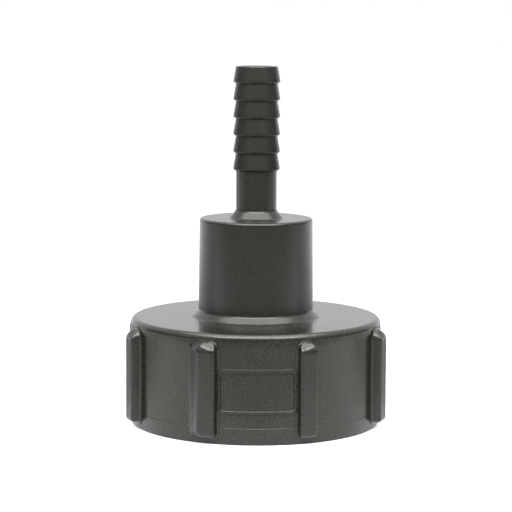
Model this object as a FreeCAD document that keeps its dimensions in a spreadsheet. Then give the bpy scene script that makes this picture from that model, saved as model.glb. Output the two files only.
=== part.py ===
import FreeCAD
import Part
import Sketcher
import math
import os

# Tank tap adapter: a screw cap with a coarse female thread, a hollow boss and a barbed hose tail, all in
# one moulding, and the flat washer that seals it. Lengths are in millimetres and angles in degrees.
# The origin is the middle of the cap's mouth, in the plane of its rim. +Z runs up the hose tail and -Y
# faces the small plate on the cap's wall.

SIZES = (
    ("thread_root_radius", 30.3, "bottom of the thread's groove, and the washer's seat"),
    ("cap_wall", 5.7, "bottom of the groove to the outside of the cap's wall"),
    ("parting_height", 4.7, "height of the mould's parting line above the rim"),
    ("foot_taper", 0.35, "how far the wall tapers in from the parting line to the rim"),
    ("foot_chamfer", 0.35, "broken outer edge of the rim"),
    ("cap_height", 30.5, "rim to the cap's top face"),
    ("cap_rounding", 1.5, "rounding of the top face's edge"),
    ("top_wall", 5.0, "thickness of the cap's top"),
    ("mouth_gap", 0.7, "how much wider than the groove the plain lead-in is"),
    ("mouth_depth", 1.8, "depth of the lead-in"),
    ("thread_depth", 2.8, "groove bottom to the crest of the ridge"),
    ("thread_pitch", 6.0, "rise of the thread in one turn"),
    ("thread_start", 4.7, "height of the ridge's middle where it starts"),
    ("thread_gap", 1.5, "least height left between the end of the ridge and the washer"),
    ("thread_crest_width", 1.3, "width of the ridge's crest"),
    ("thread_load_flank", 10.0, "slope of the ridge's upper, loaded side"),
    ("thread_lead_flank", 40.0, "slope of the ridge's lower side"),
    ("thread_run_out", 55.0, "turn over which the ridge's ends fade into the wall"),
    ("boss_top_radius", 16.2, "outside of the boss at its top"),
    ("boss_draft", 0.25, "how much wider the boss is at its foot"),
    ("boss_height", 28.3, "cap's top face to the boss's top face"),
    ("boss_rounding", 0.8, "rounding of the boss's top edge"),
    ("boss_wall", 4.2, "wall of the hollow boss"),
    ("ring_width", 1.95, "width of the sloped ring round the boss's foot"),
    ("ring_height", 1.8, "height of the sloped ring"),
    ("funnel_drop", 0.8, "boss's top face down to the upper end of the funnel inside"),
    ("neck_radius", 5.85, "plain neck of the hose tail"),
    ("neck_length", 13.5, "boss's top face to the first barb"),
    ("tail_foot_spread", 1.9, "how much wider than the neck the cone at its foot is"),
    ("tail_foot_height", 2.2, "height of that cone"),
    ("tail_bore_radius", 4.3, "bore through the hose tail"),
    ("tail_chamfer", 0.3, "broken edges of the tail's end"),
    ("barb_count", 6.0, "barbs on the tail"),
    ("barb_pitch", 4.96, "first barb to the next"),
    ("barb_root_rise", 0.12, "thin end of each barb's cone above the neck"),
    ("barb_height", 0.73, "widest edge of each barb above its thin end"),
    ("barb_undercut", 0.5, "height of the slanted underside of each barb"),
    ("barb_land", 0.3, "straight land at each barb's edge"),
    ("rib_pairs", 4.0, "pairs of grip ribs round the cap, the first on each side of -Y"),
    ("rib_turn", 21.4, "angle from the middle of a pair to each of its ribs"),
    ("rib_rise", 2.76, "cap's wall to the flat face of a rib"),
    ("rib_half_width", 2.45, "half the width of a rib's face"),
    ("rib_low", 2.2, "bottom of a rib"),
    ("rib_gap", 1.9, "cap's top face down to the top of a rib"),
    ("rib_bottom_slope", 0.9, "cut corners at the bottom of a rib"),
    ("rib_bite", 1.0, "how deep a rib is rooted in the wall"),
    ("rib_rounding", 0.45, "rounding of a rib's long edges"),
    ("rib_bend", 2.3, "bend of a rib's face towards the wall at its top"),
    ("rib_draft", 7.5, "slope of the swept flanks beyond the way the mould opens"),
    ("flank_drop", 1.35, "how far the top of a swept flank stays under the rib's arch"),
    ("plate_low", 8.5, "bottom of the raised plate"),
    ("plate_height", 12.6, "height of the raised plate"),
    ("plate_span", 34.0, "angle that the plate takes of the wall"),
    ("plate_rise", 0.3, "plate's face in front of the wall"),
    ("plate_corner", 0.5, "plate's corner rounding"),
    ("window_margin", 1.0, "height of the plate's border above and below the window"),
    ("window_span", 31.6, "angle that the window takes of the wall"),
    ("window_depth", 0.6, "plate's face to the window's floor"),
    ("window_corner", 1.1, "window's corner rounding"),
    ("washer_thickness", 3.0, "thickness of the sealing washer"),
    ("washer_width", 7.8, "width of the washer's band"),
    ("washer_clearance", 0.4, "gap round the washer in its seat"),
)

doc = FreeCAD.newDocument("tap_adapter")


# Driving sizes

def driving_sizes():
    sheet = doc.addObject("Spreadsheet::Sheet", "sizes")
    for row, (name, value, note) in enumerate(SIZES, 1):
        sheet.set(f"A{row}", name)
        sheet.set(f"B{row}", str(value))
        sheet.set(f"C{row}", note)
        sheet.setAlias(f"B{row}", name)
    doc.recompute()
    return sheet


sheet = driving_sizes()

# Heights and radii that several features share, worked out from the driving sizes
SEAT = "(sizes.cap_height - sizes.top_wall)"
BOSS_TOP = "(sizes.cap_height + sizes.boss_height)"
FIRST_BARB = f"({BOSS_TOP} + sizes.neck_length)"
TAIL_TOP = f"({FIRST_BARB} + sizes.barb_count * sizes.barb_pitch)"
CAP_RADIUS = "(sizes.thread_root_radius + sizes.cap_wall)"
FOOT_RADIUS = f"({CAP_RADIUS} - sizes.foot_taper)"
MOUTH_RADIUS = "(sizes.thread_root_radius + sizes.mouth_gap)"
WASHER_LOW = f"({SEAT} - sizes.washer_thickness)"
BOSS_FOOT_RADIUS = "(sizes.boss_top_radius + sizes.boss_draft)"
RING_RADIUS = f"({BOSS_FOOT_RADIUS} + sizes.ring_width)"
CAVITY_RADIUS = "(sizes.boss_top_radius - sizes.boss_wall)"
FUNNEL_TOP = f"({BOSS_TOP} - sizes.funnel_drop)"
FUNNEL_FOOT = f"({FUNNEL_TOP} - ({CAVITY_RADIUS} - sizes.tail_bore_radius))"
BARB_ROOT = "(sizes.neck_radius + sizes.barb_root_rise)"
BARB_TIP = f"({BARB_ROOT} + sizes.barb_height)"
RIB_FACE = f"({CAP_RADIUS} + sizes.rib_rise)"
RIB_DEPTH = "(sizes.rib_rise + sizes.rib_bite)"
RIB_TOP = "(sizes.cap_height - sizes.rib_gap)"
ARCH_HEIGHT = f"({RIB_TOP} - sizes.rib_half_width)"
PLATE_TOP = "(sizes.plate_low + sizes.plate_height)"
# The mould opens along the right rib of the pair at -Y
MOULD_TURN = "sizes.rib_turn"


def value(expression):
    return float(sheet.evalExpression(expression))


# Sketches

def origin_feature(body, role):
    return next(item for item in body.Origin.OriginFeatures if item.Role == role)


def upright_sketch(body, name):
    sketch = body.newObject("Sketcher::SketchObject", name)
    sketch.AttachmentSupport = [(origin_feature(body, "XZ_Plane"), "")]
    sketch.MapMode = "FlatFace"
    return sketch


def bind_point(sketch, line, end, across, up):
    for kind, expression in (("DistanceX", across), ("DistanceY", up)):
        number = sketch.addConstraint(Sketcher.Constraint(kind, line, end, value(expression)))
        sketch.setExpression(f"Constraints[{number}]", expression)


def outline(sketch, corners):
    """Close straight lines through the corners, each a pair of expressions for its radius and height."""
    places = [FreeCAD.Vector(value(across), value(up), 0) for across, up in corners]
    count = len(places)
    for number in range(count):
        sketch.addGeometry(Part.LineSegment(places[number], places[(number + 1) % count]))
    for number in range(count):
        sketch.addConstraint(Sketcher.Constraint("Coincident", number, 2, (number + 1) % count, 1))
    for number, (across, up) in enumerate(corners):
        bind_point(sketch, number, 1, across, up)


def rounded_corner(across, up, rounding):
    """Corners of an outer top edge whose rounding is drawn as three equal chords."""
    return tuple(
        (f"{across} - {rounding} * (1 - cos({angle} deg))", f"{up} - {rounding} * (1 - sin({angle} deg))")
        for angle in (0, 30, 60, 90))


def new_body(name):
    body = doc.addObject("PartDesign::Body", name)
    body.Label = name
    return body


def revolve(body, name, corners, angle=None):
    sketch = upright_sketch(body, f"{name}_outline")
    outline(sketch, corners)
    feature = body.newObject("PartDesign::Revolution", name)
    feature.Profile = sketch
    feature.ReferenceAxis = (sketch, ["V_Axis"])
    if angle:
        feature.Midplane = True
        feature.setExpression("Angle", angle)
    doc.recompute()
    return feature


# Edges to dress

def ring_edges(shape, rings):
    """Names of the full circles round the axis whose radius and height are listed."""
    wanted = [(value(radius), value(height)) for radius, height in rings]
    names = []
    for number, edge in enumerate(shape.Edges, 1):
        if not isinstance(edge.Curve, Part.Circle):
            continue
        seen = (edge.Curve.Radius, edge.Curve.Center.z)
        if any(math.dist(seen, ring) < 1e-4 for ring in wanted):
            names.append(f"Edge{number}")
    return names


def straight_edges(shape, wanted):
    """Names of the straight edges whose two ends pass the test."""
    names = []
    for number, edge in enumerate(shape.Edges, 1):
        if isinstance(edge.Curve, Part.Line) and wanted(*(vertex.Point for vertex in edge.Vertexes)):
            names.append(f"Edge{number}")
    return names


def dress_edges(body, kind, name, size, names):
    base = body.Tip
    feature = body.newObject(f"PartDesign::{kind}", name)
    feature.Base = (base, names)
    feature.setExpression("Radius" if kind == "Fillet" else "Size", size)
    doc.recompute()
    return feature


# Cap, boss and hose tail

def moulded_core():
    """Wall, top, boss and tail as one turned outline, with the barbs repeated along the tail."""
    body = new_body("moulded_core")
    revolve(body, "wall_and_tail", (
        (MOUTH_RADIUS, "0"),
        (FOOT_RADIUS, "0"),
        (CAP_RADIUS, "sizes.parting_height"),
        *rounded_corner(CAP_RADIUS, "sizes.cap_height", "sizes.cap_rounding"),
        (RING_RADIUS, "sizes.cap_height"),
        (BOSS_FOOT_RADIUS, "sizes.cap_height + sizes.ring_height"),
        *rounded_corner("sizes.boss_top_radius", BOSS_TOP, "sizes.boss_rounding"),
        ("sizes.neck_radius + sizes.tail_foot_spread", BOSS_TOP),
        ("sizes.neck_radius", f"{BOSS_TOP} + sizes.tail_foot_height"),
        ("sizes.neck_radius", FIRST_BARB),
        (BARB_ROOT, FIRST_BARB),
        (BARB_ROOT, TAIL_TOP),
        ("sizes.tail_bore_radius", TAIL_TOP),
        ("sizes.tail_bore_radius", FUNNEL_TOP),
        (CAVITY_RADIUS, FUNNEL_FOOT),
        (CAVITY_RADIUS, SEAT),
        ("sizes.thread_root_radius", SEAT),
        ("sizes.thread_root_radius", "sizes.mouth_depth + sizes.mouth_gap"),
        (MOUTH_RADIUS, "sizes.mouth_depth"),
    ))
    dress_edges(body, "Chamfer", "cap_foot", "sizes.foot_chamfer",
                ring_edges(body.Tip.Shape, ((FOOT_RADIUS, "0"),)))
    dress_edges(body, "Chamfer", "tail_end", "sizes.tail_chamfer",
                ring_edges(body.Tip.Shape, ((BARB_ROOT, TAIL_TOP), ("sizes.tail_bore_radius", TAIL_TOP))))
    barbs(body)
    return body


def barbs(body):
    """One barb round the tail, thinning upwards from a narrow land, then the rest above it."""
    inside = f"({BARB_ROOT} + sizes.tail_bore_radius) / 2"
    land_low = f"{FIRST_BARB} + sizes.barb_undercut"
    thin_end = f"{FIRST_BARB} + sizes.barb_pitch - sizes.tail_chamfer"
    barb = revolve(body, "barb", (
        (inside, FIRST_BARB),
        (BARB_ROOT, FIRST_BARB),
        (BARB_TIP, land_low),
        (BARB_TIP, f"{land_low} + sizes.barb_land"),
        (BARB_ROOT, thin_end),
        (inside, thin_end),
    ))
    pattern = body.newObject("PartDesign::LinearPattern", "barb_row")
    pattern.Originals = [barb]
    pattern.Direction = (origin_feature(body, "Z_Axis"), [""])
    pattern.setExpression("Length", "(sizes.barb_count - 1) * sizes.barb_pitch")
    pattern.setExpression("Occurrences", "sizes.barb_count")
    body.Tip = pattern
    doc.recompute()


# Grip ribs

def arched_outline(sketch, half_width, low, slope, rise):
    """Front view of a rib: cut corners below, upright sides, and an arch drawn as two equal arcs."""
    radius = f"(({half_width}) ^ 2 + ({rise}) ^ 2) / (2 * ({rise}))"
    arch_middle = f"{ARCH_HEIGHT} + ({rise}) - {radius}"
    corners = (
        (f"-({half_width})", ARCH_HEIGHT),
        (f"-({half_width})", f"{low} + {slope}"),
        (f"{slope} - ({half_width})", low),
        (f"({half_width}) - {slope}", low),
        (half_width, f"{low} + {slope}"),
        (half_width, ARCH_HEIGHT),
    )
    places = [FreeCAD.Vector(value(across), value(up), 0) for across, up in corners]
    lines = len(places) - 1
    for number in range(lines):
        sketch.addGeometry(Part.LineSegment(places[number], places[number + 1]))
    middle = FreeCAD.Vector(0, value(arch_middle), 0)
    start = math.atan2(places[-1].y - middle.y, places[-1].x)
    circle = Part.Circle(middle, FreeCAD.Vector(0, 0, 1), value(radius))
    right = sketch.addGeometry(Part.ArcOfCircle(circle, start, math.pi / 2))
    left = sketch.addGeometry(Part.ArcOfCircle(circle, math.pi / 2, math.pi - start))
    for number in range(lines - 1):
        sketch.addConstraint(Sketcher.Constraint("Coincident", number, 2, number + 1, 1))
    sketch.addConstraint(Sketcher.Constraint("Coincident", lines - 1, 2, right, 1))
    sketch.addConstraint(Sketcher.Constraint("Coincident", right, 2, left, 1))
    sketch.addConstraint(Sketcher.Constraint("Coincident", left, 2, 0, 1))
    sketch.addConstraint(Sketcher.Constraint("Coincident", right, 3, left, 3))
    sketch.addConstraint(Sketcher.Constraint("PointOnObject", right, 2, -2))
    height = sketch.addConstraint(Sketcher.Constraint("DistanceY", right, 3, middle.y))
    sketch.setExpression(f"Constraints[{height}]", arch_middle)
    for number, (across, up) in enumerate(corners[:-1]):
        bind_point(sketch, number, 1, across, up)
    bind_point(sketch, lines - 1, 2, *corners[-1])


def pad_inwards(body, sketch, depth="0"):
    """Pad a front view from the rib's face, or from a depth behind it, towards the axis."""
    sketch.setExpression(".AttachmentOffset.Base.z", f"{RIB_FACE} - ({depth})")
    pad = body.newObject("PartDesign::Pad", f"{body.Name}_pad")
    pad.Profile = sketch
    pad.Reversed = True
    pad.setExpression("Length", f"{RIB_DEPTH} - ({depth})")
    doc.recompute()
    return pad


def rib_block(name, half_width, wanted, rounding):
    """A block as deep and high as a rib, with the edges of its face that pass the test rounded."""
    body = new_body(name)
    sketch = upright_sketch(body, f"{name}_face")
    outline(sketch, (
        (f"-({half_width})", "sizes.rib_low"),
        (half_width, "sizes.rib_low"),
        (half_width, RIB_TOP),
        (f"-({half_width})", RIB_TOP),
    ))
    face = -value(RIB_FACE)
    names = straight_edges(pad_inwards(body, sketch).Shape, lambda first, last: (
        math.dist((first.y, last.y), (face, face)) < 1e-4 and wanted(first, last)))
    dress_edges(body, "Fillet", f"{name}_edges", rounding, names)
    return body


def upright(first, last):
    return abs(first.x - last.x) < 1e-6


def at_rib_top(first, last):
    top = value(RIB_TOP)
    return math.dist((first.z, last.z), (top, top)) < 1e-4


def rib_flank(number, turn):
    """The sloping flank on a rib's side that would catch in the mould, swept the way the mould opens.

    It starts where its slope touches the rounding of the rib's face, and its top stays under the arch.
    """
    aside = (turn - value(MOULD_TURN) + 90) % 180 - 90
    if not 1 < abs(aside) < 89:
        return []
    slant = abs(aside) + value("sizes.rib_draft")
    inset = f"(sizes.rib_rounding * (1 - cos({slant} deg)) + 0.01)"
    depth = f"(sizes.rib_rounding * (1 - sin({slant} deg)) + 0.01)"
    body = new_body(f"rib_flank_{number}")
    sketch = upright_sketch(body, f"rib_flank_{number}_face")
    arched_outline(sketch, f"sizes.rib_half_width - {inset}", "sizes.rib_low",
                   "(sizes.rib_bottom_slope + sizes.rib_rounding)",
                   "sizes.rib_half_width - sizes.flank_drop")
    pad = pad_inwards(body, sketch, depth)
    side = math.copysign(math.sin(math.radians(slant)), aside)
    pad.UseCustomVector = True
    pad.Direction = FreeCAD.Vector(-side, -math.cos(math.radians(slant)), 0)
    pad.AlongSketchNormal = True
    return [body]


def grip_rib(number, turn):
    """A bar with rounded long edges and an arched end, whose face bends towards the wall at the top."""
    bar = rib_block(f"rib_bar_{number}", "sizes.rib_half_width", upright, "sizes.rib_rounding")
    front = new_body(f"rib_front_{number}")
    sketch = upright_sketch(front, f"rib_front_{number}_face")
    arched_outline(sketch, "sizes.rib_half_width", "sizes.rib_low", "sizes.rib_bottom_slope",
                   "sizes.rib_half_width")
    pad_inwards(front, sketch)
    flanks = rib_flank(number, turn)
    bend = rib_block(f"rib_bend_{number}", f"sizes.rib_half_width + 2 * {RIB_DEPTH}", at_rib_top,
                     "sizes.rib_bend")
    for body in [bar, front, bend] + flanks:
        body.Placement = FreeCAD.Placement(
            FreeCAD.Vector(), FreeCAD.Rotation(FreeCAD.Vector(0, 0, 1), turn))
    arched = doc.addObject("Part::Common", f"arched_bar_{number}")
    arched.Base = bar
    arched.Tool = front
    whole = arched
    if flanks:
        whole = doc.addObject("Part::Fuse", f"bar_and_flank_{number}")
        whole.Base = arched
        whole.Tool = flanks[0]
    rib = doc.addObject("Part::Common", f"grip_rib_{number}")
    rib.Base = whole
    rib.Tool = bend
    doc.recompute()
    return rib


def grip_ribs():
    pairs = int(value("sizes.rib_pairs"))
    turns = []
    for pair in range(pairs):
        middle = pair * 360 / pairs
        turns += [middle + value("sizes.rib_turn"), middle - value("sizes.rib_turn")]
    return [grip_rib(number, turn) for number, turn in enumerate(turns)]


# Plate and window on the wall

def wall_patch(name, inner, outer, low, top, span, corner):
    """A piece of a ring in front of the wall, centred on -Y, with its four corners rounded."""
    body = new_body(name)
    revolve(body, f"{name}_ring", ((inner, low), (outer, low), (outer, top), (inner, top)), span)
    names = straight_edges(body.Tip.Shape, lambda first, last: abs(first.z - last.z) < 1e-6)
    dress_edges(body, "Fillet", f"{name}_corners", corner, names)
    body.Placement = FreeCAD.Placement(
        FreeCAD.Vector(), FreeCAD.Rotation(FreeCAD.Vector(0, 0, 1), -90))
    doc.recompute()
    return body


# Thread

def run_out_cutter(turn, height):
    """An upright cylinder set off the axis, which cuts the ridge to nothing at this turn."""
    root = value("sizes.thread_root_radius") + 0.1
    crest = value("sizes.thread_root_radius - sizes.thread_depth")
    angle = math.radians(value("sizes.thread_run_out"))
    # The cylinder touches the wall at its far side and meets the crest's circle the run-out angle away
    offset = (root ** 2 - crest ** 2) / (2 * (root - crest * math.cos(angle)))
    tool = Part.makeCylinder(root - offset, 2 * height, FreeCAD.Vector(offset, 0, -height))
    tool.rotate(FreeCAD.Vector(), FreeCAD.Vector(0, 0, 1), turn)
    return tool


def thread_ridge():
    """The ridge in quarter turns, each swept along its own stretch of helix and trimmed to the crest."""
    root = value("sizes.thread_root_radius")
    crest = root - value("sizes.thread_depth")
    pitch = value("sizes.thread_pitch")
    rooted = root + 0.25
    inward = crest - 0.25
    half_crest = value("sizes.thread_crest_width") / 2
    load = math.tan(math.radians(value("sizes.thread_load_flank")))
    lead = math.tan(math.radians(value("sizes.thread_lead_flank")))
    corners = [
        FreeCAD.Vector(inward, 0, -half_crest + (crest - inward) * lead),
        FreeCAD.Vector(rooted, 0, -half_crest - (rooted - crest) * lead),
        FreeCAD.Vector(rooted, 0, half_crest + (rooted - crest) * load),
        FreeCAD.Vector(inward, 0, half_crest - (crest - inward) * load),
    ]
    room = value(f"{WASHER_LOW} - sizes.thread_gap - sizes.thread_start") - corners[2].z
    quarters = int(4 * room / pitch)
    section = Part.makePolygon(corners + corners[:1])
    helix = Part.makeHelix(pitch, pitch / 4, crest)
    bar = Part.Wire(helix.Edges).makePipeShell([section], True, True)
    bar = bar.cut(Part.makeCylinder(crest, 4 * pitch, FreeCAD.Vector(0, 0, -2 * pitch)))
    pieces = []
    for number in range(quarters):
        piece = bar.copy()
        piece.rotate(FreeCAD.Vector(), FreeCAD.Vector(0, 0, 1), 90 * number)
        piece.translate(FreeCAD.Vector(0, 0, value("sizes.thread_start") + number * pitch / 4))
        pieces.append(piece)
    pieces[0] = pieces[0].cut(run_out_cutter(0, 100))
    pieces[-1] = pieces[-1].cut(run_out_cutter(90 * quarters, 100))
    ridge = doc.addObject("Part::Feature", "thread_ridge")
    ridge.Shape = pieces[0].multiFuse(pieces[1:])
    return ridge


# The moulding, joined from its parts

def adapter_body():
    core = moulded_core()
    plate = wall_patch(
        "front_plate", f"{CAP_RADIUS} - sizes.rib_bite", f"{CAP_RADIUS} + sizes.plate_rise",
        "sizes.plate_low", PLATE_TOP, "sizes.plate_span", "sizes.plate_corner")
    window = wall_patch(
        "front_window", f"{CAP_RADIUS} + sizes.plate_rise - sizes.window_depth",
        f"{CAP_RADIUS} + 2 * sizes.plate_rise",
        "sizes.plate_low + sizes.window_margin", f"{PLATE_TOP} - sizes.window_margin",
        "sizes.window_span", "sizes.window_corner")
    joined = doc.addObject("Part::MultiFuse", "moulding")
    joined.Shapes = [core, plate, thread_ridge()] + grip_ribs()
    joined.Refine = False
    moulding = doc.addObject("Part::Cut", "adapter_body")
    moulding.Label = "adapter_body"
    moulding.Base = joined
    moulding.Tool = window
    moulding.Refine = False
    doc.recompute()
    return moulding


# The washer in its seat under the cap's top

def sealing_washer():
    outer = "(sizes.thread_root_radius - sizes.washer_clearance)"
    inner = f"({outer} - sizes.washer_width)"
    body = new_body("sealing_washer")
    revolve(body, "washer_band", ((inner, WASHER_LOW), (outer, WASHER_LOW), (outer, SEAT), (inner, SEAT)))
    return body


# Checking and writing

def check():
    for item in doc.Objects:
        if "Invalid" in item.State or "Error" in item.State:
            raise RuntimeError(f"{item.Name} failed: {item.State}")


def write(item):
    shape = item.Shape
    if shape.isNull() or not shape.isValid() or len(shape.Solids) != 1:
        raise RuntimeError(f"{item.Label} is not one valid solid")
    solid = shape.Solids[0]
    solid.exportStep(f"parts/{item.Label}.step")
    box = solid.BoundBox
    print(f"{item.Label}: {solid.Volume:.1f} mm3, {len(solid.Faces)} faces,"
          f" {box.XLength:.2f} x {box.YLength:.2f} x {box.ZLength:.2f} mm, from z {box.ZMin:.2f}")


os.makedirs("parts", exist_ok=True)
sub_parts = [adapter_body(), sealing_washer()]
doc.recompute()
check()
for sub_part in sub_parts:
    write(sub_part)
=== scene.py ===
# %% [markdown]
# A screw-on adapter for a tank's outlet tap, moulded in one piece in black polypropylene. A cap with grip
# ribs and a coarse inside thread carries a hollow boss, and a barbed tail for a garden hose stands on it.
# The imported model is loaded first. It fixes where everything is, and the lesson rebuilds its surface with
# the rounded edges, the moulding marks and the grain that the eye reads as plastic.

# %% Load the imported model
import math

import bmesh
import bpy
from mathutils import Matrix, Vector


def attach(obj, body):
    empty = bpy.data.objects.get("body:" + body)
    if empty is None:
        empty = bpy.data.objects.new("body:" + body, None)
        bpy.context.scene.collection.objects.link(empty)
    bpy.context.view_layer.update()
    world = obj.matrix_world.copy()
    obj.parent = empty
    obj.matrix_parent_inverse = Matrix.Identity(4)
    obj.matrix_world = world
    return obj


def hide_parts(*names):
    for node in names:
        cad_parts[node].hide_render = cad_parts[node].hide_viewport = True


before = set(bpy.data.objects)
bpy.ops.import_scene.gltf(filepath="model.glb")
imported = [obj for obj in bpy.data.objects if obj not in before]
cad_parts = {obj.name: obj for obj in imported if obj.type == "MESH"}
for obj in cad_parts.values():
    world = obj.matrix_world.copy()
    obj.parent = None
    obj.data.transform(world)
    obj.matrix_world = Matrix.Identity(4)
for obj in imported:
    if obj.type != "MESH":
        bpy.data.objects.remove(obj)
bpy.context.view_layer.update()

# %% [markdown]
# The pieces are drawn in millimetres and made metres at the end. A few sizes come back in several pieces,
# so they are named once: radii from the axis, heights above the cap's rim, and turns in degrees from the
# middle of the front. The last three are only tolerances, for telling where a point lies.

# %% Sizes that several pieces share, in millimetres
CAP_RADIUS = 36.0
GROOVE_RADIUS = 30.3
NECK_RADIUS = 5.85
PARTING_HEIGHT = 4.7
LEDGE = 0.06
PATCH_LOW = 8.0
PATCH_TOP = 21.6
BOSS_TOP = 58.8
MOULD_TURN = 21.4
COLUMNS = 192
COLUMN_TURN = 360 / COLUMNS
METRES = 0.001
MARGIN = 0.1
RING_TOLERANCE = 0.004
WELD = 0.001


# %% [markdown]
# Four helpers are used for the pieces. The first turns a bmesh into an object that rides on the model. A
# smooth moulding is shaded smooth, and only edges that fold more than a set angle stay crisp. A Weighted
# Normal modifier lets each broad face keep its own direction next to a narrow rounding. The second
# moves points with a rule, for bends that no operator has. The third picks the edges of a turned piece
# that lie on a circle, and the fourth rounds edges.

# %% Helpers for pieces
def finish_piece(bm, name, materials, crease=32):
    """Make an object of a bmesh that is drawn in millimetres. Folds over the crease angle stay crisp."""
    bmesh.ops.recalc_face_normals(bm, faces=bm.faces[:])
    bmesh.ops.scale(bm, vec=Vector((METRES, METRES, METRES)), verts=bm.verts[:])
    for face in bm.faces:
        face.smooth = True
    for edge in bm.edges:
        edge.smooth = edge.calc_face_angle(0.0) < math.radians(crease)
    mesh = bpy.data.meshes.new(name)
    bm.to_mesh(mesh)
    bm.free()
    for material in materials:
        mesh.materials.append(material)
    piece = bpy.data.objects.new(name, mesh)
    bpy.context.scene.collection.objects.link(piece)
    shading = piece.modifiers.new("even_shading", "WEIGHTED_NORMAL")
    shading.mode = "FACE_AREA"
    shading.weight = 100
    shading.keep_sharp = True
    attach(piece, "root")
    corners = [piece.matrix_world @ Vector(corner) for corner in piece.bound_box]
    heights = [round(corner.z / METRES, 1) for corner in corners]
    print(f"{name}: {len(mesh.polygons)} faces, z {min(heights)} to {max(heights)} mm")
    return piece


def move_points(verts, rule):
    for vert in verts:
        vert.co = rule(vert.co)


def ring_edges(bm, radius, height):
    def on_ring(vert):
        off_radius = abs(math.hypot(vert.co.x, vert.co.y) - radius)
        return off_radius < RING_TOLERANCE and abs(vert.co.z - height) < RING_TOLERANCE
    return [edge for edge in bm.edges if all(on_ring(vert) for vert in edge.verts)]


def round_edges(bm, edges, size, segments):
    bmesh.ops.bevel(bm, geom=edges, offset=size, segments=segments, profile=0.5,
                    affect="EDGES", material=-1, clamp_overlap=True)


# %% [markdown]
# Black polypropylene isn't black to a camera. Its colour is a very dark warm grey, and most of the light
# that comes from it is the white room mirrored weakly in its skin. The cap was moulded against
# spark-eroded steel, which leaves a fine grain. The ribs were moulded against smoother steel and have less
# of it, and the boss and the tail are satin. All of them are one recipe with other numbers.

# %% Material helpers
def linear(hex_colour):
    channels = [int(hex_colour[index:index + 2], 16) / 255 for index in (1, 3, 5)]
    return [c / 12.92 if c <= 0.04045 else ((c + 0.055) / 1.055) ** 2.4 for c in channels] + [1.0]


def add_node(tree, kind, settings=None, **links):
    """Add a node. Links are named for the node's sockets, with _ for a space, or are _0, _1 and so on."""
    node = tree.nodes.new(kind)
    for key, number in (settings or {}).items():
        if isinstance(key, str) and hasattr(node, key):
            setattr(node, key, number)
        else:
            node.inputs[key].default_value = number
    for key, source in links.items():
        socket = int(key[1:]) if key[0] == "_" else key.replace("_", " ")
        tree.links.new(source, node.inputs[socket])
    return node


def new_material(name):
    material = bpy.data.materials.new(name)
    material.use_nodes = True
    tree = material.node_tree
    tree.nodes.clear()
    return material, tree


# %% Moulded polypropylene and rubber
GRAIN_MM = 0.42
FLOW_MM = 14.0
FLOW_NOISE = {"Scale": 1000 / FLOW_MM, "Detail": 3.0, "Roughness": 0.6}
GRAIN_NOISE = {"Scale": 1000 / GRAIN_MM, "Detail": 2.0, "Roughness": 0.7}
DARK_END = 0.35
LIGHT_END = 0.65
GLOSS_SPREAD = 0.04
POLYMER_IOR = 1.49


def moulded(name, dark, light, roughness, grain_depth, speck_share):
    """Grain size is a real one of about 0.2 mm, drawn twice as coarse so that the picture shows it."""
    material, tree = new_material(name)
    place = add_node(tree, "ShaderNodeTexCoord").outputs["Object"]
    flow = add_node(tree, "ShaderNodeTexNoise", FLOW_NOISE, Vector=place)
    grain = add_node(tree, "ShaderNodeTexNoise", GRAIN_NOISE, Vector=place)
    both = add_node(tree, "ShaderNodeMix", {"data_type": "FLOAT", "Factor": speck_share},
                    A=flow.outputs["Fac"], B=grain.outputs["Fac"])
    colour = add_node(tree, "ShaderNodeValToRGB", Fac=both.outputs["Result"])
    colour.color_ramp.elements[0].position = DARK_END
    colour.color_ramp.elements[0].color = linear(dark)
    colour.color_ramp.elements[1].position = LIGHT_END
    colour.color_ramp.elements[1].color = linear(light)
    rough = add_node(tree, "ShaderNodeMapRange",
                     {"From Min": 0.3, "From Max": 0.7,
                      "To Min": roughness - GLOSS_SPREAD, "To Max": roughness + GLOSS_SPREAD},
                     Value=both.outputs["Result"])
    bump = add_node(tree, "ShaderNodeBump", {"Strength": 1.0, "Distance": grain_depth / 1000},
                    Height=grain.outputs["Fac"])
    skin = add_node(tree, "ShaderNodeBsdfPrincipled", {"IOR": POLYMER_IOR},
                    Base_Color=colour.outputs["Color"], Roughness=rough.outputs["Result"],
                    Normal=bump.outputs["Normal"])
    add_node(tree, "ShaderNodeOutputMaterial", Surface=skin.outputs["BSDF"])
    print(f"material {name}: grain {GRAIN_MM} mm wide, {grain_depth} mm deep")
    return material


grained = moulded("grained_moulded_polypropylene", "#131311", "#3a3934", 0.22, 0.020, 0.85)
smooth = moulded("smooth_moulded_polypropylene", "#171715", "#343330", 0.22, 0.008, 0.8)
satin = moulded("satin_moulded_polypropylene", "#1c1c18", "#252420", 0.26, 0.002, 0.3)
rubber = moulded("moulded_nitrile_rubber", "#141414", "#1c1b1a", 0.72, 0.012, 0.5)

# %% [markdown]
# The cap, the boss and the tail are one turned form. A short outline of plain corners is drawn as a wire on
# one side of the axis and spun round it. The corners are rounded after the spin, because a bevel on a ring
# of edges gives an even rounding all the way round, and its size stays a number that can be changed. The
# wall has rings where the patch for the plate begins and ends, and leans in a hair under the rim. Corners
# that are rounded later have names, given as radius and height, and those of the barbs are counted out.

# %% Corners of the turned core
FIRST_BARB = 72.3
BARB_PITCH = 4.96
BARB_COUNT = 6
BARB_ROOT = 5.97
BARB_RADIUS = 6.7
BORE_RADIUS = 4.3
HOLLOW_RADIUS = 12.0
SEAT_HEIGHT = 25.5
CAP_HEIGHT = 30.5
TAIL_TOP = FIRST_BARB + BARB_COUNT * BARB_PITCH

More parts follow.
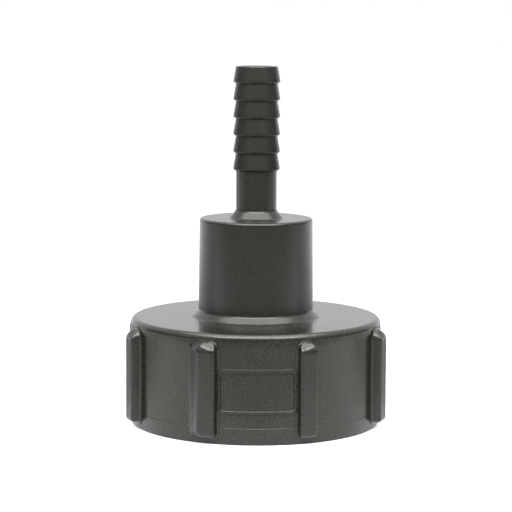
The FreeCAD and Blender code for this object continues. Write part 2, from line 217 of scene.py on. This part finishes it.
MOUTH = (31.0, 0.0)
FOOT = (35.65, 0.0)
RIM = (CAP_RADIUS - 0.22, CAP_HEIGHT)
RING_FOOT = (18.4, CAP_HEIGHT)
RING_TOP = (16.45, 32.3)
BOSS_EDGE = (16.2, BOSS_TOP)
CONE_FOOT = (7.75, BOSS_TOP)
CONE_TOP = (NECK_RADIUS, 61.0)
TAIL_EDGE = (BARB_ROOT, TAIL_TOP)
BORE_EDGE = (BORE_RADIUS, TAIL_TOP)


def barb_corners(number):
    """The thin end of a barb's cone, and the lower and upper end of the land at its edge."""
    low = FIRST_BARB + number * BARB_PITCH
    return (BARB_ROOT, low), (BARB_RADIUS, low + 0.5), (BARB_RADIUS, low + 0.8)


BARBS = [barb_corners(number) for number in range(BARB_COUNT)]
print(f"tail: {BARB_COUNT} barbs, {FIRST_BARB} to {round(TAIL_TOP, 2)} mm above the rim")

# %% Turned core
OUTLINE = (
    MOUTH, FOOT, (CAP_RADIUS + LEDGE, PARTING_HEIGHT - LEDGE), (CAP_RADIUS - LEDGE, PARTING_HEIGHT + LEDGE),
    (CAP_RADIUS, PARTING_HEIGHT + 3 * LEDGE), (CAP_RADIUS, PATCH_LOW), (CAP_RADIUS, PATCH_TOP),
    (CAP_RADIUS, 26.4), (CAP_RADIUS - 0.03, 27.6), (CAP_RADIUS - 0.1, 28.7), RIM,
    RING_FOOT, RING_TOP, BOSS_EDGE, CONE_FOOT, CONE_TOP, (NECK_RADIUS, FIRST_BARB),
    *(corner for barb in BARBS for corner in barb),
    TAIL_EDGE, BORE_EDGE, (BORE_RADIUS, 58.0), (HOLLOW_RADIUS, 50.3), (HOLLOW_RADIUS, SEAT_HEIGHT),
    (GROOVE_RADIUS, SEAT_HEIGHT), (GROOVE_RADIUS, 2.5), (MOUTH[0], 1.8),
)
# Rounding, its segments, and the corners that get it
ROUNDINGS = (
    (0.15, 2, (FOOT,)),
    (1.5, 7, (RIM,)),
    (0.35, 3, (RING_FOOT, CONE_FOOT, MOUTH)),
    (0.5, 3, (RING_TOP, CONE_TOP)),
    (0.8, 5, (BOSS_EDGE,)),
    (0.3, 3, (TAIL_EDGE, BORE_EDGE)),
    (0.14, 3, tuple(corner for barb in BARBS for corner in barb[1:])),
)


def turned_core():
    bm = bmesh.new()
    verts = [bm.verts.new((radius, 0.0, height)) for radius, height in OUTLINE]
    wire = [bm.edges.new((verts[index - 1], verts[index])) for index in range(len(verts))]
    bmesh.ops.spin(bm, geom=verts + wire, cent=Vector(), axis=Vector((0, 0, 1)), angle=2 * math.pi,
                   steps=COLUMNS, use_merge=True)
    for size, segments, rings in ROUNDINGS:
        edges = [edge for radius, height in rings for edge in ring_edges(bm, radius, height)]
        round_edges(bm, edges, size, segments)
    return bm


core = turned_core()
print("turned core:", len(core.faces), "faces")

# %% [markdown]
# The tail was moulded between two steel halves. Where they met, a hair of plastic was pressed out and left
# a fine ridge down both sides of the barbs, the neck and the cone under it. One column of the turned mesh on
# each side is moved outwards by a few hundredths of a millimetre.

# %% Mould line on the tail
MOULD_RIDGE = 0.07


def raise_mould_line(place):
    turn = math.degrees(math.atan2(place.x, -place.y))
    off_line = abs((turn - MOULD_TURN) % 180 - 90)
    across = math.hypot(place.x, place.y)
    if off_line > COLUMN_TURN / 2 or place.z < BOSS_TOP + MARGIN or across < NECK_RADIUS - MARGIN:
        return place
    return Vector((place.x * (1 + MOULD_RIDGE / across), place.y * (1 + MOULD_RIDGE / across), place.z))


move_points(core.verts, raise_mould_line)
print("mould line:", MOULD_RIDGE, "mm high, at", MOULD_TURN - 90, "and", MOULD_TURN + 90, "degrees")


# %% [markdown]
# The cap's wall carries a low plate with a sunk window between the two front ribs. Such a thing is easiest to
# draw flat. The faces of the wall behind it are taken out, a flat sheet of the same size is drawn with its
# steps, sliced into strips as wide as the wall's own faces, and rolled up to the wall's radius. Its border
# then meets the wall point by point, and the two are merged.

# %% Plate and window
PLATE_COLUMNS = 10
PLATE = {"half_turn": 17.4, "low": 8.5, "top": 21.1, "corner": 0.5, "height": 0.0}
PLATE_STEP = 0.18
PLATE_RISE = 0.3
PLATE_ROUNDING = 0.15
WINDOW = {"half_turn": 16.4, "low": 9.5, "top": 20.1, "corner": 1.1, "height": PLATE_RISE}
WINDOW_STEP = 0.2
WINDOW_DEPTH = 0.6
WINDOW_ROUNDING = 0.2


def arc_length(turn):
    return math.radians(turn) * CAP_RADIUS


def rounded_panel(bm, half_turn, low, top, corner, height):
    """A flat panel seen from the front, its corners rounded, at a height in front of the wall."""
    half = arc_length(half_turn)
    corners = ((-half, low), (half, low), (half, top), (-half, top))
    panel = bm.faces.new([bm.verts.new((across, -height, up)) for across, up in corners])
    rounded = bmesh.ops.bevel(bm, geom=panel.verts[:], offset=corner, segments=5, profile=0.5,
                              affect="VERTICES", material=-1)
    return max((face for face in bm.faces if any(vert in rounded["verts"] for vert in face.verts)),
               key=lambda face: face.calc_area())


def step_panel(bm, face, thickness, rise):
    """Inset a panel and lift its middle, which leaves a slanted step. Returns the step's outer edges."""
    step = bmesh.ops.inset_individual(bm, faces=[face], thickness=thickness, depth=0.0, use_even_offset=True)
    bmesh.ops.translate(bm, verts=face.verts[:], vec=Vector((0, -rise, 0)))
    # A dict keeps the edges in order, so the sheet is filled with the same triangles in every run
    return list(dict.fromkeys(edge for side in step["faces"] for edge in side.edges if edge.is_boundary))


def roll_up(place):
    turn = place.x / CAP_RADIUS
    radius = CAP_RADIUS - place.y
    return Vector((radius * math.sin(turn), -radius * math.cos(turn), place.z))


def wall_patch():
    bm = bmesh.new()
    half = arc_length(PLATE_COLUMNS * COLUMN_TURN)
    border = [bm.verts.new((across, 0.0, up)) for across, up in
              ((-half, PATCH_LOW), (half, PATCH_LOW), (half, PATCH_TOP), (-half, PATCH_TOP))]
    rim = [bm.edges.new((border[index - 1], border[index])) for index in range(4)]
    plate = rounded_panel(bm, **PLATE)
    plate_foot = step_panel(bm, plate, PLATE_STEP, PLATE_RISE)
    plate_rim = plate.edges[:]
    bmesh.ops.delete(bm, geom=[plate], context="FACES_ONLY")
    window = rounded_panel(bm, **WINDOW)
    window_rim = step_panel(bm, window, WINDOW_STEP, -WINDOW_DEPTH)
    for loops in (rim + plate_foot, plate_rim + window_rim):
        bmesh.ops.triangle_fill(bm, use_beauty=True, use_dissolve=False, edges=loops)
    round_edges(bm, plate_rim, PLATE_ROUNDING, 3)
    round_edges(bm, [edge for edge in window_rim if edge.is_valid], WINDOW_ROUNDING, 4)
    for column in range(1 - PLATE_COLUMNS, PLATE_COLUMNS):
        bmesh.ops.bisect_plane(bm, geom=bm.verts[:] + bm.edges[:] + bm.faces[:], dist=1e-5,
                               plane_co=Vector((arc_length(column * COLUMN_TURN), 0, 0)),
                               plane_no=Vector((1, 0, 0)))
    move_points(bm.verts, roll_up)
    return bm


def open_wall(bm):
    half = PLATE_COLUMNS * COLUMN_TURN

    def behind_patch(face):
        middle = face.calc_center_median()
        turn = math.degrees(math.atan2(middle.x, -middle.y))
        outside = math.hypot(middle.x, middle.y) > CAP_RADIUS - MARGIN
        return outside and abs(turn) < half and PATCH_LOW < middle.z < PATCH_TOP
    taken = [face for face in bm.faces if behind_patch(face)]
    bmesh.ops.delete(bm, geom=taken, context="FACES")
    return len(taken)


print("wall faces taken out:", open_wall(core))
patch_mesh = bpy.data.meshes.new("wall_patch")
patch = wall_patch()
patch.to_mesh(patch_mesh)
patch.free()
core.from_mesh(patch_mesh)
bmesh.ops.remove_doubles(core, verts=core.verts[:], dist=WELD)
print("open edges left:", sum(edge.is_boundary for edge in core.edges))

# %% Grained cap, satin boss and tail
GRAIN_FROM_RADIUS = 18.3
GRAIN_FROM_HEIGHT = 0.2

for face in core.faces:
    middle = face.calc_center_median()
    on_cap = math.hypot(middle.x, middle.y) > GRAIN_FROM_RADIUS and middle.z > GRAIN_FROM_HEIGHT
    face.material_index = 0 if on_cap else 1
cap_and_tail = finish_piece(core, "cap_boss_and_tail", [grained, satin])
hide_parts("adapter_body")

# %% [markdown]
# A grip rib is a flat-faced bar with soft long edges, a ball-like upper end and a small fillet where it
# meets the wall. Its outline is a rectangle on the wall whose corners are bevelled, the upper ones until
# they meet in an arch. An inset leaves a skirt for the fillet, the middle is extruded to the rib's face,
# and the two loops of edges are bevelled: one becomes the rounding, the other the fillet.

# %% Rib as a flat block
RIB_RISE = 38.76 - CAP_RADIUS
RIB_HALF_WIDTH = 2.5
RIB_LOW = 2.2
RIB_TOP = 28.6
RIB_CORNER = 1.3
RIB_ROUNDING = 0.6
RIB_FILLET = 0.7
FILLET_USED = 0.95


def rib_block():
    bm = bmesh.new()
    half = RIB_HALF_WIDTH + RIB_FILLET
    corners = ((-half, RIB_LOW - RIB_FILLET), (half, RIB_LOW - RIB_FILLET),
               (half, RIB_TOP + RIB_FILLET), (-half, RIB_TOP + RIB_FILLET))
    verts = [bm.verts.new((across, 0.0, up)) for across, up in corners]
    bm.faces.new(verts)
    for pair, radius, segments in ((verts[:2], RIB_CORNER + RIB_FILLET, 6), (verts[2:], half, 16)):
        bmesh.ops.bevel(bm, geom=pair, offset=radius, segments=segments, profile=0.5,
                        affect="VERTICES", material=-1)
    bmesh.ops.remove_doubles(bm, verts=bm.verts[:], dist=WELD)
    face = bm.faces[:][0]
    bmesh.ops.inset_individual(bm, faces=[face], thickness=RIB_FILLET, use_even_offset=True)
    raised = bmesh.ops.extrude_face_region(bm, geom=[face])["geom"]
    bmesh.ops.translate(bm, vec=Vector((0, -RIB_RISE, 0)),
                        verts=[item for item in raised if isinstance(item, bmesh.types.BMVert)])
    bmesh.ops.delete(bm, geom=[face], context="FACES_ONLY")
    # At the wall only edges of the rib's upright sides are meant, and not those between skirt faces
    loops = {0.0: [], -RIB_RISE: []}
    for edge in bm.edges:
        for level, found in loops.items():
            if not edge.is_boundary and all(abs(vert.co.y - level) < WELD for vert in edge.verts):
                if level or any(abs(face.normal.y) < 0.5 for face in edge.link_faces):
                    found.append(edge)
    round_edges(bm, loops[0.0], RIB_FILLET * FILLET_USED, 4)
    round_edges(bm, [edge for edge in loops[-RIB_RISE] if edge.is_valid], RIB_ROUNDING, 5)
    return bm


# %% [markdown]
# The block is sliced finely where it has to bend, and a few rules then shape it. The front sinks along an
# ellipse towards the top, and at its sides more than in its middle, which makes the ball end. The ball's
# highest part lies off the rib's middle. The foot is rounded, and a hair thicker under the parting
# line. The side that would otherwise catch when the mould opens sideways is slanted: every point moves
# outwards by how far it lies behind the face. At last the back of the rib is laid on the round wall, and its
# front stays flat.

# %% Rules for a rib's shape
ARCH_CENTRE = RIB_TOP - RIB_HALF_WIDTH
ARCH_TIP = 0.05
DOME_FOOT = 25.4
DOME_LEAN = 1.6
BEND_FULLNESS = 2.0
BEND_DEPTH = 0.985
BALL_DELAY = 1.5
BALL_DEPTH = 0.8
BALL_SPREAD = 0.4
LOW_ROUNDING = 1.2
FOOT_SWELL = 0.007


def clamp(number, top=1.0):
    return min(max(number, 0.0), top)


def rib_shape(slant, lean):
    reach = math.tan(math.radians(abs(slant))) if slant else 0.0
    side = math.copysign(1.0, slant) if slant else 0.0

    def share_of_rise(across, up, over_centre):
        above = clamp((up - DOME_FOOT) / (RIB_TOP - DOME_FOOT))
        bend = (1 - BEND_DEPTH * above ** BEND_FULLNESS) ** (1 / BEND_FULLNESS)
        half_arch = math.sqrt(RIB_HALF_WIDTH ** 2 - over_centre ** 2)
        crown = min(abs(across - lean) / (half_arch + BALL_SPREAD), 1.0)
        ball = over_centre / RIB_HALF_WIDTH
        share = bend * (1 - ball ** BALL_DELAY * (1 - math.sqrt(1 - BALL_DEPTH * crown ** 2)))
        low = clamp((up - RIB_LOW) / LOW_ROUNDING)
        share *= 1 - LOW_ROUNDING / RIB_RISE * (1 - math.sqrt(1 - (1 - low) ** 2))
        return share + (FOOT_SWELL if up < PARTING_HEIGHT else 0.0)

    def shape(place):
        depth = -place.y
        across, up = place.x, place.z
        over_centre = clamp(up - ARCH_CENTRE, RIB_HALF_WIDTH - ARCH_TIP)
        sideways = abs(across) / max(math.hypot(across, over_centre), RIB_HALF_WIDTH)
        if up < RIB_LOW + RIB_CORNER:
            sideways = clamp((abs(across) - RIB_HALF_WIDTH + RIB_CORNER) / RIB_CORNER)
        if across * side > 0:
            across += side * (RIB_RISE - depth) * reach * sideways
        depth *= share_of_rise(across, up, over_centre) if depth > 0 else 1.0
        wall = math.sqrt(CAP_RADIUS ** 2 - across ** 2)
        front = depth / RIB_RISE
        return Vector((across, -(wall + depth + front * (CAP_RADIUS - wall)), up))
    return shape


# %% Ribs round the cap
RIB_COUNT = 8
PAIR_TURN = 21.6
RIB_DRAFT = 5.0
RIB_CREASE = 50
SLICE = 0.3
UP = Vector((0, 0, 1))
ASIDE = Vector((1, 0, 0))


def slice_block(bm, plane_normal, places):
    for place in places:
        bmesh.ops.bisect_plane(bm, geom=bm.verts[:] + bm.edges[:] + bm.faces[:], dist=1e-4,
                               plane_co=plane_normal * place, plane_no=plane_normal)


def grip_rib(turn):
    # A rib along the way that the mould opens, or square to it, needs no slanted side
    aside = (turn - MOULD_TURN + 90) % 180 - 90
    slant = math.copysign(abs(aside) + RIB_DRAFT, aside) if 1 < abs(aside) < 89 else 0.0
    lean = math.copysign(DOME_LEAN, math.sin(2 * math.radians(turn)))
    bm = rib_block()
    slice_block(bm, UP, [RIB_LOW + step * SLICE for step in range(5)])
    slice_block(bm, UP, [PARTING_HEIGHT - LEDGE, PARTING_HEIGHT + LEDGE])
    slice_block(bm, UP, [DOME_FOOT - 2 * SLICE + step * SLICE for step in range(14)])
    slice_block(bm, ASIDE, [step * SLICE for step in range(-7, 8)])
    move_points(bm.verts, rib_shape(slant, lean))
    bmesh.ops.rotate(bm, verts=bm.verts[:], cent=Vector(),
                     matrix=Matrix.Rotation(math.radians(turn), 3, "Z"))
    return bm


for number in range(RIB_COUNT):
    rib_turn = number // 2 * 90 + (PAIR_TURN if number % 2 else -PAIR_TURN)
    finish_piece(grip_rib(rib_turn), f"grip_rib_{number + 1}", [smooth], RIB_CREASE)

# %% [markdown]
# The inside thread is a ridge that climbs 6 mm a turn. The spin operator makes it from one section, because
# it can lift the section a little with each step. Each end fades into the wall over 55 degrees, as a mould
# core leaves it, by drawing the crest's points back to the wall. The ridge's root lies a little inside the
# wall, so that no gap shows.

# %% Inside thread
PITCH = 6.0
THREAD_START = 4.7
THREAD_TURNS = 2.5
THREAD_CREST = GROOVE_RADIUS - 2.8
THREAD_ROOT = GROOVE_RADIUS + 0.3
HALF_CREST = 0.65
LOAD_FLANK = 10
LEAD_FLANK = 40
RUN_OUT = 55 / 360
STEPS_A_TURN = 96


def fade_ends(place):
    radius = math.hypot(place.x, place.y)
    if radius > THREAD_ROOT - MARGIN:
        return place
    part = (math.atan2(place.y, place.x) / (2 * math.pi)) % 1
    turns = part + round((place.z - THREAD_START) / PITCH - part)
    near = min(turns, THREAD_TURNS - turns) / RUN_OUT
    share = math.sin(clamp(near) * math.pi / 2)
    drawn = THREAD_ROOT - (THREAD_ROOT - radius) * share
    return Vector((place.x * drawn / radius, place.y * drawn / radius, place.z))


def thread_ridge():
    depth = THREAD_ROOT - THREAD_CREST
    low, top = THREAD_START - HALF_CREST, THREAD_START + HALF_CREST
    section = (
        (THREAD_CREST, low), (THREAD_ROOT, low - depth * math.tan(math.radians(LEAD_FLANK))),
        (THREAD_ROOT, top + depth * math.tan(math.radians(LOAD_FLANK))), (THREAD_CREST, top),
    )
    bm = bmesh.new()
    start = bm.faces.new([bm.verts.new((radius, 0.0, height)) for radius, height in section])
    bmesh.ops.spin(bm, geom=[start] + start.edges[:] + start.verts[:], cent=Vector(), axis=UP,
                   dvec=UP * (PITCH / STEPS_A_TURN), angle=THREAD_TURNS * 2 * math.pi,
                   steps=int(THREAD_TURNS * STEPS_A_TURN))
    move_points(bm.verts, fade_ends)
    return bm


finish_piece(thread_ridge(), "inside_thread", [grained])

# %% [markdown]
# The sealing washer lies flat under the cap's top, where only a view from below shows it. Its packed form is
# right as it is, so it only gets its rubber.

# %% Sealing washer
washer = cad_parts["sealing_washer"]
for slot in washer.material_slots:
    slot.material = rubber

# %% [markdown]
# A white room makes a dark satin thing readable: its sides mirror the room weakly when seen straight on and
# strongly at a glancing angle, so edges and the cap's flat top turn pale. Its upright walls mirror the
# paper in front of them. In that mirror the paper shows a painted glow: dark in front, pale close to the
# thing and beside it, and dark again right behind it, a painted shadow where its own shade would lie. To
# the camera the room and the paper are plain white. What is seen of them is set apart from the soft light
# that the room gives.

# %% Materials of the room
ROOM_LIGHT = 0.45
ROOM_SEEN = 1.0
ROOM_MIRRORED = 1.15
PAPER_SEEN = 0.78
SMOOTH = {"interpolation_type": "SMOOTHSTEP"}
# Metres on the paper, and how bright it is in a mirror there
FRONT_GLOW = {"From Min": -0.10, "From Max": -0.02, "To Min": 0.28, "To Max": 1.15, **SMOOTH}
SIDE_GAIN = 0.6
SIDE_LIMIT = 0.13
# Share of the paper's mirrored glow that a painted shadow of the thing takes away behind it, and how far it
# reaches
SHADE_BEHIND = {"From Min": -0.03, "From Max": 0.03, "To Min": 0.0, "To Max": 0.97, **SMOOTH}
SHADE_REACH = {"From Min": 0.18, "From Max": 0.50, "To Min": 1.0, "To Max": 0.0, **SMOOTH}
# Painted glow of the curtains, by height in metres: dark at their foot and bright as the room at their top
CLOTH_GLOW = {"From Min": 0.05, "From Max": 0.60, "To Max": 1.0, **SMOOTH}
FIBRE_NOISE = {"Scale": 400.0, "Detail": 2.0}


def seen_ray(tree):
    """1 for a ray from the camera, in a mirror or through glass, and 0 for light that falls on things."""
    path = add_node(tree, "ShaderNodeLightPath").outputs
    seen = add_node(tree, "ShaderNodeMath", {"operation": "MAXIMUM"},
                    _0=path["Is Camera Ray"], _1=path["Is Glossy Ray"])
    seen = add_node(tree, "ShaderNodeMath", {"operation": "MAXIMUM"},
                    _0=seen.outputs[0], _1=path["Is Transmission Ray"])
    return path["Is Camera Ray"], seen.outputs[0]


def matt_fibres(tree, dark, light):
    place = add_node(tree, "ShaderNodeTexCoord").outputs["Object"]
    fibre = add_node(tree, "ShaderNodeTexNoise", FIBRE_NOISE, Vector=place)
    colour = add_node(tree, "ShaderNodeValToRGB", Fac=fibre.outputs["Fac"])
    colour.color_ramp.elements[0].color = linear(dark)
    colour.color_ramp.elements[1].color = linear(light)
    return place, add_node(tree, "ShaderNodeBsdfDiffuse", Color=colour.outputs["Color"])


def add_glow(tree, matt, level, seen):
    """Finish a material with a glow that the camera and mirrors see, and that lights nothing."""
    level = add_node(tree, "ShaderNodeMath", {"operation": "MULTIPLY"}, _0=level, _1=seen)
    glow = add_node(tree, "ShaderNodeEmission", Strength=level.outputs[0])
    both = add_node(tree, "ShaderNodeAddShader", _0=matt.outputs[0], _1=glow.outputs[0])
    add_node(tree, "ShaderNodeOutputMaterial", Surface=both.outputs[0])


def white_room():
    world = bpy.data.worlds.new("white_room")
    bpy.context.scene.world = world
    world.use_nodes = True
    tree = world.node_tree
    tree.nodes.clear()
    camera_ray, seen = seen_ray(tree)
    white = linear("#ffffff")
    soft = add_node(tree, "ShaderNodeBackground", {"Color": white, "Strength": ROOM_LIGHT})
    level = add_node(tree, "ShaderNodeMath",
                     {"operation": "MULTIPLY_ADD", 1: ROOM_SEEN - ROOM_MIRRORED, 2: ROOM_MIRRORED},
                     _0=camera_ray)
    bright = add_node(tree, "ShaderNodeBackground", {"Color": white}, Strength=level.outputs[0])
    mixed = add_node(tree, "ShaderNodeMixShader", _0=seen, _1=soft.outputs[0], _2=bright.outputs[0])
    add_node(tree, "ShaderNodeOutputWorld", Surface=mixed.outputs[0])


def lit_paper():
    """White to the camera, and in a mirror a painted glow, graded as a sweep is that is lit from behind and
    the sides.
    """
    material, tree = new_material("matt_pale_paper")
    place, matt = matt_fibres(tree, "#cacaca", "#d0d0d0")
    camera_ray, seen = seen_ray(tree)
    ways = add_node(tree, "ShaderNodeSeparateXYZ", Vector=place).outputs
    aside = add_node(tree, "ShaderNodeMath", {"operation": "ABSOLUTE"}, _0=ways["X"])
    aside = add_node(tree, "ShaderNodeMath", {"operation": "MINIMUM", 1: SIDE_LIMIT}, _0=aside.outputs[0])
    away = add_node(tree, "ShaderNodeMath", {"operation": "MULTIPLY_ADD", 1: SIDE_GAIN},
                    _0=aside.outputs[0], _2=ways["Y"])
    bright = add_node(tree, "ShaderNodeMapRange", FRONT_GLOW, Value=away.outputs[0])
    behind = add_node(tree, "ShaderNodeMapRange", SHADE_BEHIND, Value=ways["Y"])
    reach = add_node(tree, "ShaderNodeVectorMath", {"operation": "LENGTH"}, _0=place)
    close = add_node(tree, "ShaderNodeMapRange", SHADE_REACH, Value=reach.outputs["Value"])
    shade = add_node(tree, "ShaderNodeMath", {"operation": "MULTIPLY"},
                     _0=behind.outputs["Result"], _1=close.outputs["Result"])
    unshaded = add_node(tree, "ShaderNodeMath", {"operation": "SUBTRACT", 0: 1.0}, _1=shade.outputs[0])
    mirrored = add_node(tree, "ShaderNodeMath", {"operation": "MULTIPLY"},
                        _0=bright.outputs["Result"], _1=unshaded.outputs[0])
    level = add_node(tree, "ShaderNodeMix", {"data_type": "FLOAT", "B": PAPER_SEEN},
                     Factor=camera_ray, A=mirrored.outputs[0])
    add_glow(tree, matt, level.outputs["Result"], seen)
    return material


def graded_cloth():
    """A painted glow that lights nothing: dark at its foot, and nearly as bright as the room at its top."""
    material, tree = new_material("matt_graded_cloth")
    place, matt = matt_fibres(tree, "#262626", "#303030")
    up = add_node(tree, "ShaderNodeSeparateXYZ", Vector=place).outputs["Z"]
    level = add_node(tree, "ShaderNodeMapRange", CLOTH_GLOW, Value=up)
    add_glow(tree, matt, level.outputs["Result"], seen_ray(tree)[1])
    return material


# %% [markdown]
# A soft box high in front puts the bright points on the domes and rims, and a second one overhead is seen
# only in gloss. Three curtains hang behind the camera and at both sides, where the camera doesn't see them.
# They are painted shade: dark sheets that stand for the unlit part of a studio and keep the band under the
# bright points dark in mirrors, as an unlit studio does. A painted glow brightens them towards their top.
# The floor is white paper and keeps a soft shadow.

# %% Floor, curtains and lamps
FLOOR_HALF_SIZE = 6.0
CURTAIN_HALF_HEIGHT = 0.3
# Dark sheets that stand for the unlit studio: painted shade, seen only in mirrors
# Name, middle in metres, half width and turn
CURTAINS = (
    ("dark_curtain", (0, -1.1, 0.3), 1.3, 0),
    ("left_curtain", (-1.1, -0.2, 0.3), 0.9, 90),
    ("right_curtain", (1.1, -0.2, 0.3), 0.9, 90),
)
LAMP_AIM = Vector((0, 0, 0.05))
LAMP_COLOUR = "#fffcf6"


def sheet(name, material, size, spot, camera_sees=True):
    bm = bmesh.new()
    bmesh.ops.create_grid(bm, x_segments=1, y_segments=1, size=1.0,
                          matrix=spot @ Matrix.Diagonal((*size, 1, 1)))
    mesh = bpy.data.meshes.new(name)
    bm.to_mesh(mesh)
    bm.free()
    mesh.materials.append(material)
    panel = bpy.data.objects.new(name, mesh)
    bpy.context.scene.collection.objects.link(panel)
    panel.visible_camera = camera_sees
    print(f"{name}: {2 * size[0]} by {2 * size[1]} m")


def lamp(name, elevation, distance, width, height, radiance, lights_matt=True):
    """A soft box in front, facing the cap. Its power follows from how bright its face should look."""
    data = bpy.data.lights.new(name, "AREA")
    data.shape = "RECTANGLE"
    data.size = width
    data.size_y = height
    data.energy = radiance * math.pi * width * height
    data.color = linear(LAMP_COLOUR)[:3]
    lamp_object = bpy.data.objects.new(name, data)
    bpy.context.scene.collection.objects.link(lamp_object)
    rise = math.radians(elevation)
    way = Vector((0.0, -math.cos(rise), math.sin(rise)))
    lamp_object.location = LAMP_AIM + way * distance
    lamp_object.rotation_euler = way.to_track_quat("Z", "Y").to_euler()
    lamp_object.visible_diffuse = lights_matt
    print(f"{name}: {width} by {height} m, {data.energy:.1f} W")


white_room()
sheet("floor", lit_paper(), (FLOOR_HALF_SIZE, FLOOR_HALF_SIZE), Matrix.Identity(4))
cloth = graded_cloth()
for name, spot, half_width, turn in CURTAINS:
    hung = Matrix.Rotation(math.radians(turn), 4, "Z") @ Matrix.Rotation(math.pi / 2, 4, "X")
    sheet(name, cloth, (half_width, CURTAIN_HALF_HEIGHT), Matrix.Translation(spot) @ hung, False)
lamp("high_front_softbox", elevation=54, distance=0.9, width=1.15, height=0.36, radiance=8.0)
lamp("overhead_reflector", elevation=78, distance=0.8, width=1.30, height=0.80, radiance=4.5,
     lights_matt=False)

# %% [markdown]
# The picture was taken from a little above the top of the hose tail with a long lens, so uprights stay
# upright and the cap's top is a narrow ellipse. Distance, height, turn, tilt, roll and focal length were
# fitted to the outline.

# %% Camera
CAMERA_DISTANCE = 0.5714
CAMERA_HEIGHT = 0.11843
CAMERA_AZIMUTH = -0.96
CAMERA_TILT = 7.054
CAMERA_ROLL = 0.304
FOCAL_LENGTH = 140.97

camera_data = bpy.data.cameras.new("camera")
camera_data.lens = FOCAL_LENGTH
camera_data.sensor_width = 36.0
camera_data.clip_start = 0.01
camera = bpy.data.objects.new("camera", camera_data)
bpy.context.scene.collection.objects.link(camera)
azimuth = math.radians(CAMERA_AZIMUTH)
place = Vector((CAMERA_DISTANCE * math.sin(azimuth), -CAMERA_DISTANCE * math.cos(azimuth), CAMERA_HEIGHT))
camera.matrix_world = (Matrix.Translation(place) @ Matrix.Rotation(azimuth, 4, "Z")
                       @ Matrix.Rotation(math.radians(90 - CAMERA_TILT), 4, "X")
                       @ Matrix.Rotation(math.radians(CAMERA_ROLL), 4, "Z"))
bpy.context.scene.camera = camera
bpy.context.scene.view_settings.view_transform = "Standard"
print("camera:", CAMERA_DISTANCE, "m from the axis,", CAMERA_HEIGHT, "m high, lens", FOCAL_LENGTH, "mm")
